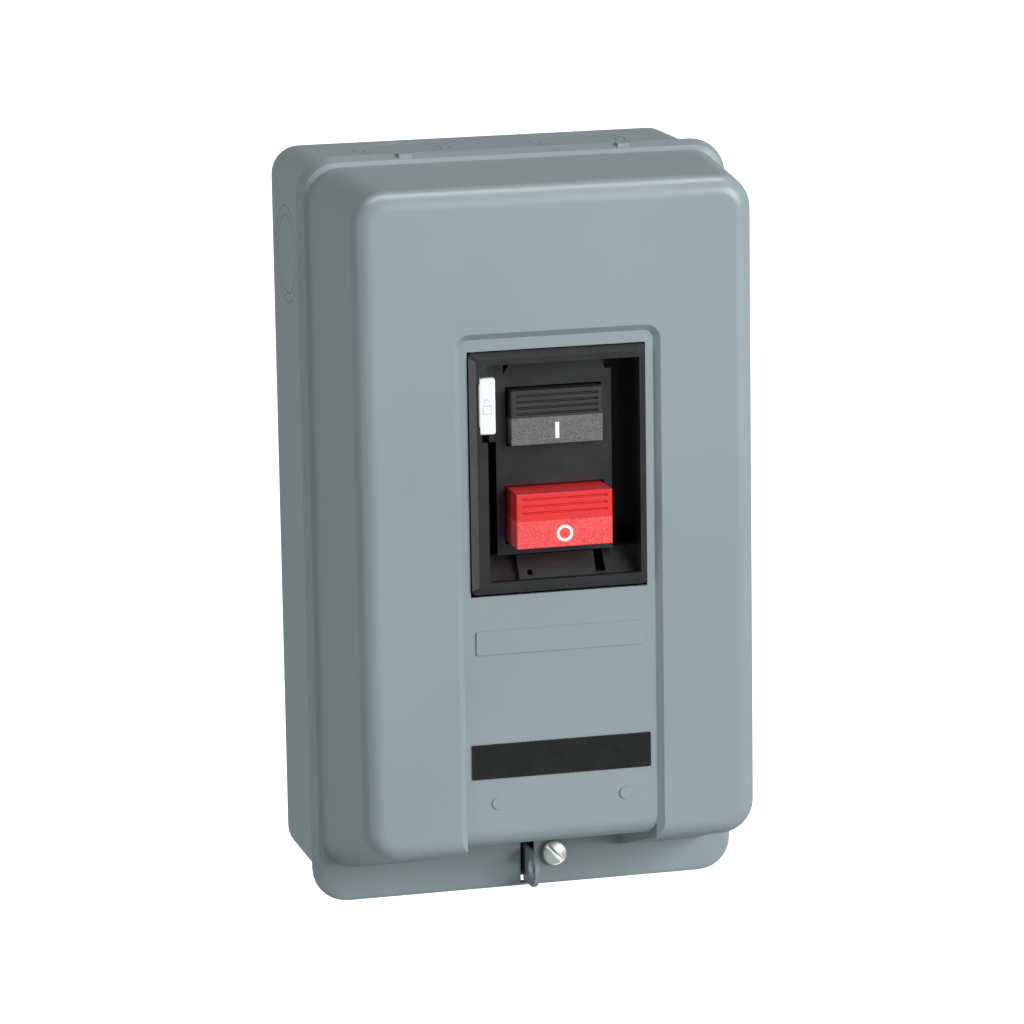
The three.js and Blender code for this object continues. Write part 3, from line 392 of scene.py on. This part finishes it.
def soften(piece, width_mm, segments=2, limit=32):
    """Rounds a piece's sharp edges and evens its shading."""
    piece.data.shade_smooth()
    bevel = piece.modifiers.new("rounded_edges", "BEVEL")
    bevel.width, bevel.segments = width_mm * MM, segments
    bevel.limit_method, bevel.angle_limit = "ANGLE", math.radians(limit)
    bevel.use_clamp_overlap = True
    piece.modifiers.new("even_shading", "WEIGHTED_NORMAL").keep_sharp = True
    return settle(piece)


def show(piece, finish, body, replaced=()):
    """Gives a piece its finish, its body and the nodes it stands for."""
    piece.data.materials.clear()
    piece.data.materials.append(finishes[finish])
    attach(piece, body)
    if replaced:
        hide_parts(*replaced)
    return piece


def merged_copy(node):
    """A copy of a CAD solid as one joined skin with its flat faces whole."""
    skin = bmesh.new()
    skin.from_mesh(frame["nodes"][node].data)
    bmesh.ops.remove_doubles(skin, verts=skin.verts, dist=MERGE_DISTANCE)
    bmesh.ops.dissolve_limit(skin, angle_limit=FLAT_ANGLE, verts=skin.verts, edges=skin.edges)
    mesh = bpy.data.meshes.new("finished_" + node)
    skin.to_mesh(mesh)
    skin.free()
    return placed("finished_" + node, mesh)


def finished(node, width_mm, segments=2, limit=32):
    """A softened copy that stands for a CAD node."""
    piece = soften(merged_copy(node), width_mm, segments, limit)
    return show(piece, SLOT_OF[node], BODY_OF[node], [node])


print("nodes with a body:", len(BODY_OF), "slots in use:", len(set(SLOT_OF.values())))

# %% [markdown]
# ## The pressed and moulded parts
# Sheet steel bends over a radius near its own thickness, and a moulding has a smaller one.
# So the table gives each part the edge radius, in millimetres, that its making leaves, and
# the number of steps that the bevel takes round it.

# %% Pressed and moulded parts
EDGE_TABLE = {
    "cover": (1.4, 4), "back_box": (0.4, 2), "padlock_tab": (0.3, 3), "bezel": (0.35, 3),
    "mechanism_housing": (0.35, 3), "lockout_slide": (0.5, 4), "label": (0.12, 2),
    "cover_hook_left": (0.3, 2), "cover_hook_right": (0.3, 2), "screw_bracket": (0.2, 2),
    "contact_block": (0.4, 2), "overload_block": (0.4, 2), "contact_carrier": (0.4, 2),
    "rocker": (0.4, 2), "magnet_yoke": (0.3, 2), "armature": (0.3, 2), "trip_bar": (0.2, 2),
}
for node, (width_mm, segments) in EDGE_TABLE.items():
    print(node, len(finished(node, width_mm, segments).data.polygons), "faces")

# %% [markdown]
# ## Node trees for what repeats
# The ribs of a button, the heads of the screws and the turns of the coil all repeat. Each is
# one Geometry Nodes tree with named sizes, so a count or a pitch is changed in one place.
# The tree ends in Realize Instances and Set Material, and its result becomes a plain mesh.

# %% Node tree helpers
class Tree:
    """A Geometry Nodes tree being built, with its named inputs."""

    def __init__(self, name, sizes, seed=1):
        self.group = bpy.data.node_groups.new(name, "GeometryNodeTree")
        face = self.group.interface
        face.new_socket("Geometry", in_out="INPUT", socket_type="NodeSocketGeometry")
        self.ids = {}
        for label, value in sizes.items():
            kind = "NodeSocketInt" if isinstance(value, int) else "NodeSocketFloat"
            socket = face.new_socket(label, in_out="INPUT", socket_type=kind)
            socket.default_value = value
            self.ids[label] = socket.identifier
        face.new_socket("Geometry", in_out="OUTPUT", socket_type="NodeSocketGeometry")
        self.start = self.group.nodes.new("NodeGroupInput")
        self.end = self.group.nodes.new("NodeGroupOutput")
        self.seed = seed

    def node(self, kind, **values):
        """A node with its inputs set to sockets or constants."""
        made = self.group.nodes.new(kind)
        for key, value in values.items():
            if key.startswith("set_"):
                setattr(made, key[4:], value)
        for key, value in values.items():
            if not key.startswith("set_"):
                self.feed(made.inputs[key.replace("_", " ")], value)
        return made

    def feed(self, socket, value):
        """Links a socket, or sets a constant."""
        if isinstance(value, bpy.types.NodeSocket):
            self.group.links.new(value, socket)
        else:
            socket.default_value = value

    def math(self, operation, first, second=0.0):
        """One sum."""
        made = self.group.nodes.new("ShaderNodeMath")
        made.operation = operation
        self.feed(made.inputs[0], first)
        self.feed(made.inputs[1], second)
        return made.outputs[0]

    def vector(self, x=0.0, y=0.0, z=0.0):
        """A vector from three numbers."""
        return self.node("ShaderNodeCombineXYZ", X=x, Y=y, Z=z).outputs[0]

    def size(self, label):
        """A named input."""
        return self.start.outputs[label]

    def cube(self, x, y, z):
        """A box centred on the origin."""
        return self.node("GeometryNodeMeshCube", Size=self.vector(x, y, z)).outputs["Mesh"]

    def moved(self, geometry, x=0.0, y=0.0, z=0.0):
        """That geometry, shifted."""
        shift = self.vector(x, y, z)
        return self.node("GeometryNodeTransform", Geometry=geometry, Translation=shift).outputs[0]

    def cut(self, body, *cutters):
        """That body less the cutters."""
        made = self.group.nodes.new("GeometryNodeMeshBoolean")
        made.operation, made.solver = "DIFFERENCE", "EXACT"
        self.group.links.new(body, made.inputs["Mesh 1"])
        for cutter in cutters:
            self.group.links.new(cutter, made.inputs["Mesh 2"])
        return made.outputs["Mesh"]

    def joined(self, *parts):
        """Several geometries as one."""
        made = self.group.nodes.new("GeometryNodeJoinGeometry")
        for part in parts:
            self.group.links.new(part, made.inputs[0])
        return made.outputs[0]

    def close(self, geometry, material):
        """Ends the tree in Realize Instances and Set Material."""
        real = self.node("GeometryNodeRealizeInstances", Geometry=geometry).outputs[0]
        made = self.node("GeometryNodeSetMaterial", Geometry=real, Material=material).outputs[0]
        self.group.links.new(made, self.end.inputs[0])


def grown(name, tree, points=((0, 0, 0),), **sizes):
    """A plain mesh from a tree, on a mesh of loose points, with some sizes changed."""
    mesh = bpy.data.meshes.new(name)
    mesh.from_pydata([tuple(p) for p in points], [], [])
    piece = placed(name, mesh)
    grow = piece.modifiers.new("grow", "NODES")
    grow.node_group = tree.group
    for label, value in sizes.items():
        grow[tree.ids[label.replace("_", " ")]] = value
    return settle(piece)


print("node tree helpers are ready")

# %% [markdown]
# ## The buttons
# A button is a hollow cap with a stem. Its face has shallow grooves in the upper half, four
# on START and three on STOP. The grooves are one bar instanced down a line and cut away, so
# the count is an input. Cutting true grooves, not painting them, lets their edges catch light.

# %% Buttons
CAP_FACE = 0.003
GROOVE_ENDS, GROOVE_HEIGHT = 0.0036, 0.0006
STEM_WIDTH, STEM_HEIGHT, STEM_START = 0.008, 0.006, 0.0025


def button_tree(material):
    """A cap with grooves in its face, in its own frame, facing -Y."""
    tree = Tree("grooved_button", {"Width": 0.0324, "Height": 0.019, "Depth": 0.022, "Groove Count": 4,
                                   "Groove Pitch": 0.002, "Groove Drop": 0.002, "Groove Cut": 0.0008,
                                   "Wall": 0.002, "Stem Length": 0.005})
    width, height, depth = tree.size("Width"), tree.size("Height"), tree.size("Depth")
    cap = tree.moved(tree.cube(width, depth, height), y=tree.math("MULTIPLY", depth, 0.5))
    wall = tree.math("MULTIPLY", tree.size("Wall"), 2.0)
    hollow = tree.cube(tree.math("SUBTRACT", width, wall), depth, tree.math("SUBTRACT", height, wall))
    hollow = tree.moved(hollow, y=tree.math("ADD", tree.math("MULTIPLY", depth, 0.5), CAP_FACE))
    first = tree.math("SUBTRACT", tree.math("MULTIPLY", height, 0.5), tree.size("Groove Drop"))
    line = tree.node("GeometryNodeMeshLine", set_mode="OFFSET", Count=tree.size("Groove Count"),
                     Start_Location=tree.vector(z=first),
                     Offset=tree.vector(z=tree.math("MULTIPLY", tree.size("Groove Pitch"), -1.0)))
    bar = tree.cube(tree.math("SUBTRACT", width, GROOVE_ENDS),
                    tree.math("MULTIPLY", tree.size("Groove Cut"), 2.0), GROOVE_HEIGHT)
    grooves = tree.node("GeometryNodeInstanceOnPoints", Points=line.outputs[0], Instance=bar).outputs[0]
    cutters = tree.node("GeometryNodeRealizeInstances", Geometry=grooves).outputs[0]
    body = tree.cut(cap, hollow, cutters)
    stem = tree.cube(STEM_WIDTH, tree.size("Stem Length"), STEM_HEIGHT)
    stem_middle = tree.math("ADD", tree.math("MULTIPLY", tree.size("Stem Length"), 0.5), STEM_START)
    stem = tree.moved(stem, y=stem_middle)
    tree.close(tree.joined(body, stem), material)
    return tree


CAP_DEPTH = 0.022
CAP_BACK = 0.00007
for node, grooves, pitch in (("start_button", 4, 0.0021), ("stop_button", 3, 0.0024)):
    low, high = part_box(node)
    cap = grown("cap_" + node, button_tree(finishes[SLOT_OF[node]]), Width=high.x - low.x,
                Height=high.z - low.z, Depth=CAP_DEPTH, Groove_Count=grooves, Groove_Pitch=pitch,
                Stem_Length=high.y - low.y - STEM_START)
    cap.data.transform(Matrix.Translation(((low.x + high.x) / 2, low.y + CAP_BACK, (low.z + high.z) / 2)))
    soften(cap, width_mm=0.45, segments=3, limit=40)
    show(cap, SLOT_OF[node], BODY_OF[node], [node])
    print(node, grooves, "grooves,", len(cap.data.polygons), "faces")

# %% [markdown]
# ## The signs on the buttons
# Each button carries a plain sign in place of a word: an upright bar for on and a ring for
# off. Each is a thin solid with its back laid just into the face.

# %% Signs
def flat_strip(name, outline, depth, thickness):
    """A thin solid from a closed outline in X and Z, its back at a depth."""
    skin = bmesh.new()
    face = skin.faces.new([skin.verts.new((x, depth, z)) for x, z in outline])
    bmesh.ops.recalc_face_normals(skin, faces=[face])
    made = bmesh.ops.extrude_face_region(skin, geom=[face])
    moved = [v for v in made["geom"] if isinstance(v, bmesh.types.BMVert)]
    bmesh.ops.translate(skin, verts=moved, vec=(0, -thickness, 0))
    bmesh.ops.recalc_face_normals(skin, faces=skin.faces)
    mesh = bpy.data.meshes.new(name)
    skin.to_mesh(mesh)
    skin.free()
    return placed(name, mesh)


def hollow_strip(name, outer, inner, depth, thickness):
    """A thin closed band between two outlines with as many points each."""
    count = len(outer)
    verts = [(x, y, z) for y in (depth, depth - thickness) for ring in (outer, inner) for x, z in ring]
    faces = []
    for i in range(count):
        j = (i + 1) % count
        back_out, back_in, front_out, front_in = 0, count, 2 * count, 3 * count
        faces += [(back_out + i, back_out + j, back_in + j, back_in + i),
                  (front_out + j, front_out + i, front_in + i, front_in + j),
                  (back_out + j, back_out + i, front_out + i, front_out + j),
                  (back_in + i, back_in + j, front_in + j, front_in + i)]
    mesh = bpy.data.meshes.new(name)
    mesh.from_pydata(verts, [], faces)
    skin = bmesh.new()
    skin.from_mesh(mesh)
    bmesh.ops.recalc_face_normals(skin, faces=skin.faces)
    skin.to_mesh(mesh)
    skin.free()
    return placed(name, mesh)


def oval(x, z, half_x, half_z, steps=40):
    """Points round an oval."""
    turns = [2 * math.pi * i / steps for i in range(steps)]
    return [(x + half_x * math.cos(a), z + half_z * math.sin(a)) for a in turns]


def frame_points(x, z, half_x, half_z):
    """The corners of a rectangle."""
    return [(x - half_x, z - half_z), (x + half_x, z - half_z),
            (x + half_x, z + half_z), (x - half_x, z + half_z)]


SIGN_THICK, SIGN_RISE = 0.00009, 0.0047
BAR_HALF_WIDTH, BAR_HALF_HEIGHT = 0.0007, 0.0028
RING_OUTER, RING_INNER = 0.0029, 0.0019
start_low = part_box("start_button")[0]
sign_z = start_low.z + SIGN_RISE
bar = flat_strip("on_sign", frame_points(0, sign_z, BAR_HALF_WIDTH, BAR_HALF_HEIGHT),
                 start_low.y + SIGN_THICK, SIGN_THICK)
show(bar, "white_print", "start_button")
stop_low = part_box("stop_button")[0]
ring_z = stop_low.z + SIGN_RISE
ring = hollow_strip("off_sign", oval(0, ring_z, RING_OUTER, RING_OUTER),
                    oval(0, ring_z, RING_INNER, RING_INNER), stop_low.y + SIGN_THICK, SIGN_THICK)
show(ring, "white_print", "stop_button")
print("signs at heights", round(sign_z, 4), round(ring_z, 4))

# %% [markdown]
# ## The sign on the slide
# The slide has a padlock in outline: a square body and an arched shackle that stands over it.
# Both are bands a fifth of a millimetre wide, laid half their thickness into the face.

# %% The padlock on the slide
slide_low, slide_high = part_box("lockout_slide")
slide_x, slide_z = (slide_low.x + slide_high.x) / 2, (slide_low.z + slide_high.z) / 2 + 0.0002
lock_y = slide_low.y + SIGN_THICK / 2
LOCK_HALF, LOCK_LINE, LOCK_DROP = 0.0015, 0.00022, 0.0014
lock_z = slide_z - LOCK_DROP
lock_body = hollow_strip("lock_sign_body", frame_points(slide_x, lock_z, LOCK_HALF, LOCK_HALF),
                         frame_points(slide_x, lock_z, LOCK_HALF - LOCK_LINE, LOCK_HALF - LOCK_LINE),
                         lock_y, SIGN_THICK)
show(lock_body, "slide_print", "lockout_slide")
ARCH_STEPS, ARCH_RISE, ARCH_FOOT = 16, 0.0010, 0.0001
OUTER_ARCH, INNER_ARCH = (0.0011, 0.0014), (0.00088, 0.00118)


def arch(half_width, height):
    """Points from the right foot of the shackle, over its top, to the left foot."""
    turns = [math.pi * i / ARCH_STEPS for i in range(ARCH_STEPS + 1)]
    over = [(slide_x + half_width * math.cos(a), slide_z + ARCH_RISE + height * math.sin(a)) for a in turns]
    return [(slide_x + half_width, slide_z + ARCH_FOOT), *over, (slide_x - half_width, slide_z + ARCH_FOOT)]


shackle = flat_strip("lock_sign_shackle", arch(*OUTER_ARCH) + arch(*INNER_ARCH)[::-1], lock_y, SIGN_THICK)
show(shackle, "slide_print", "lockout_slide")
print("padlock sign is", LOCK_HALF * 2 / MM, "mm wide")

# %% [markdown]
# ## The screws
# A slotted screw is a head with a slightly domed top, a slot across it and a threaded shank.
# All of them differ only in size and finish, so one tree puts a screw on each of a set of
# points and turns each by a seeded random angle, as a fitter leaves them. The cover's screw
# is bigger, and its slot stands at a set angle.

# %% Screws
DOME_RATIO = 1.9
SLOT_REACH, SLOT_LIFT = 3.0, 0.55
THREAD_RATIO, THREAD_SHARE = 1.14, 0.5
HEAD_SIDES, SHANK_SIDES = 48, 20


def screw_tree(material):
    """Slotted screws facing -Y, one on each point of the input."""
    tree = Tree("slotted_screws", {"Head Radius": 0.0034, "Head Height": 0.0016, "Slot Width": 0.0008,
                                   "Slot Turn": 0.0, "Random Turn": 1.0, "Shank Radius": 0.0016,
                                   "Shank Length": 0.002, "Thread Pitch": 0.0007})
    radius, height = tree.size("Head Radius"), tree.size("Head Height")
    head = tree.node("GeometryNodeMeshCylinder", Vertices=HEAD_SIDES, Radius=radius,
                     Depth=height).outputs["Mesh"]
    dome_radius = tree.math("MULTIPLY", radius, DOME_RATIO)
    ball = tree.node("GeometryNodeMeshUVSphere", Segments=HEAD_SIDES, Rings=32,
                     Radius=dome_radius).outputs["Mesh"]
    drop = tree.math("SUBTRACT", tree.math("MULTIPLY", height, 0.5), dome_radius)
    dome = tree.group.nodes.new("GeometryNodeMeshBoolean")
    dome.operation, dome.solver = "INTERSECT", "EXACT"
    tree.group.links.new(head, dome.inputs["Mesh 2"])
    tree.group.links.new(tree.moved(ball, z=drop), dome.inputs["Mesh 2"])
    slot_box = tree.cube(tree.math("MULTIPLY", radius, SLOT_REACH), tree.size("Slot Width"), height)
    slotted = tree.cut(dome.outputs["Mesh"], tree.moved(slot_box, z=tree.math("MULTIPLY", height, SLOT_LIFT)))
    shank = tree.node("GeometryNodeMeshCylinder", Vertices=SHANK_SIDES, Radius=tree.size("Shank Radius"),
                      Depth=tree.size("Shank Length")).outputs["Mesh"]
    middle = tree.math("MULTIPLY", tree.math("ADD", tree.size("Shank Length"), height), -0.5)
    count = tree.math("DIVIDE", tree.size("Shank Length"), tree.size("Thread Pitch"))
    first = tree.math("MULTIPLY", tree.math("ADD", height, tree.size("Thread Pitch")), -0.5)
    line = tree.node("GeometryNodeMeshLine", set_mode="OFFSET", Count=tree.math("FLOOR", count),
                     Start_Location=tree.vector(z=first),
                     Offset=tree.vector(z=tree.math("MULTIPLY", tree.size("Thread Pitch"), -1.0)))
    ridge = tree.node("GeometryNodeMeshCone", Vertices=SHANK_SIDES, Radius_Top=tree.size("Shank Radius"),
                      Radius_Bottom=tree.math("MULTIPLY", tree.size("Shank Radius"), THREAD_RATIO),
                      Depth=tree.math("MULTIPLY", tree.size("Thread Pitch"), THREAD_SHARE)).outputs["Mesh"]
    thread = tree.node("GeometryNodeInstanceOnPoints", Points=line.outputs[0], Instance=ridge).outputs[0]
    screw = tree.joined(slotted, tree.moved(shank, z=middle), thread)
    random_turn = tree.node("FunctionNodeRandomValue", Seed=tree.seed).outputs[1]
    half_turn = tree.math("MULTIPLY", random_turn, math.pi)
    fitted = tree.math("MULTIPLY", tree.size("Random Turn"), half_turn)
    turn = tree.math("ADD", tree.size("Slot Turn"), fitted)
    facing = tree.node("GeometryNodeInstanceOnPoints", Points=tree.start.outputs["Geometry"], Instance=screw,
                       Rotation=tree.vector(x=math.pi / 2)).outputs[0]
    turned = tree.node("GeometryNodeRotateInstances", Instances=facing,
                       Rotation=tree.vector(z=turn)).outputs[0]
    tree.close(turned, material)
    return tree


def head_place(node, height):
    """The centre of a screw's head, from its node's box."""
    low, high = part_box(node)
    return Vector(((low.x + high.x) / 2, low.y + height / 2, (low.z + high.z) / 2))


SCREW_SETS = (
    ("terminal_screws", [f"{kind}_screw_{n}" for kind in ("line", "load") for n in (1, 2, 3)], "zinc_plate",
     dict(Head_Height=0.0016, Slot_Width=0.0008, Shank_Radius=0.0016)),
    ("block_screws", [f"mounting_screw_{n}" for n in (1, 2, 3)], "zinc_plate",
     dict(Head_Height=0.0020, Slot_Width=0.0010, Shank_Radius=0.0024)),
    ("earth_screw", ["ground_screw"], "green_screw",
     dict(Head_Height=0.0016, Slot_Width=0.0008, Shank_Radius=0.0020)),
    ("cover_fixing", ["cover_screw"], "zinc_plate",
     dict(Head_Height=0.0024, Slot_Width=0.0013, Shank_Radius=0.0021, Random_Turn=0.0,
          Slot_Turn=math.radians(-45))),
)
for name, nodes, slot, sizes in SCREW_SETS:
    low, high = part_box(nodes[0])
    head_height = sizes["Head_Height"]
    group = grown(name, screw_tree(finishes[slot]), [head_place(n, head_height) for n in nodes],
                  Head_Radius=(high.x - low.x) / 2, Shank_Length=high.y - low.y - head_height, **sizes)
    soften(group, width_mm=0.12, limit=40)
    show(group, slot, BODY_OF[nodes[0]], nodes)
    print(name, len(nodes), "screws,", len(group.data.polygons), "faces")

# %% [markdown]
# ## The holding coil
# The coil is wire wound in turns between two flanges and varnished. One round section swept
# round a circle is a turn, and turns instanced along the core make the winding.

# %% Coil
BORE_CUT = 0.06


def coil_tree(material):
    """Wound turns along Y between two flanges, round the origin."""
    tree = Tree("wound_coil", {"Winding Radius": 0.010, "Flange Radius": 0.012, "Length": 0.024, "Turns": 18,
                               "Bore Radius": 0.0053, "Flange Thickness": 0.002})
    turns = tree.size("Turns")
    both_flanges = tree.math("MULTIPLY", tree.size("Flange Thickness"), 2.0)
    room = tree.math("SUBTRACT", tree.size("Length"), both_flanges)
    pitch = tree.math("DIVIDE", room, turns)
    wire = tree.math("MULTIPLY", pitch, 0.5)
    wire_circle = tree.math("SUBTRACT", tree.size("Winding Radius"), wire)
    ring = tree.node("GeometryNodeCurvePrimitiveCircle", Resolution=56, Radius=wire_circle).outputs[0]
    section = tree.node("GeometryNodeCurvePrimitiveCircle", Resolution=8, Radius=wire).outputs[0]
    turn = tree.node("GeometryNodeCurveToMesh", Curve=ring, Profile_Curve=section).outputs[0]
    first = tree.math("ADD", tree.math("MULTIPLY", room, -0.5), wire)
    line = tree.node("GeometryNodeMeshLine", set_mode="OFFSET", Count=turns,
                     Start_Location=tree.vector(z=first), Offset=tree.vector(z=pitch))
    winding = tree.node("GeometryNodeInstanceOnPoints", Points=line.outputs[0], Instance=turn).outputs[0]
    bore = tree.node("GeometryNodeMeshCylinder", Vertices=32, Radius=tree.size("Bore Radius"),
                     Depth=BORE_CUT).outputs["Mesh"]
    core = tree.node("GeometryNodeMeshCylinder", Vertices=56, Depth=room, Radius=wire_circle).outputs["Mesh"]
    flange = tree.node("GeometryNodeMeshCylinder", Vertices=56, Radius=tree.size("Flange Radius"),
                       Depth=tree.size("Flange Thickness")).outputs["Mesh"]
    apart = tree.math("SUBTRACT", tree.size("Length"), tree.size("Flange Thickness"))
    far = tree.math("MULTIPLY", apart, 0.5)
    ends = [tree.cut(tree.moved(flange, z=tree.math("MULTIPLY", far, side)), bore) for side in (-1.0, 1.0)]
    whole = tree.joined(winding, tree.cut(core, bore), *ends)
    lying = tree.node("GeometryNodeTransform", Geometry=whole,
                      Rotation=tree.vector(x=math.pi / 2)).outputs[0]
    tree.close(lying, material)
    return tree


low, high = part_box("holding_coil")
coil = grown("wound_coil", coil_tree(finishes["coil_tape"]), Length=high.y - low.y,
             Flange_Radius=(high.x - low.x) / 2)
coil.data.transform(Matrix.Translation((low + high) / 2))
soften(coil, width_mm=0.1, limit=60)
show(coil, "coil_tape", "enclosure", ["holding_coil"])
print("coil has", len(coil.data.polygons), "faces")

# %% [markdown]
# ## What stays as it came
# The strips, heaters, pin and lug are plain shapes, already right. They keep their own mesh
# and only take a better finish in their material slot.

# %% Carried-over parts
for name, node in frame["nodes"].items():
    if not node.hide_render:
        node.data.materials.clear()
        node.data.materials.append(finishes[SLOT_OF[name]])
        print(name, "takes", SLOT_OF[name])
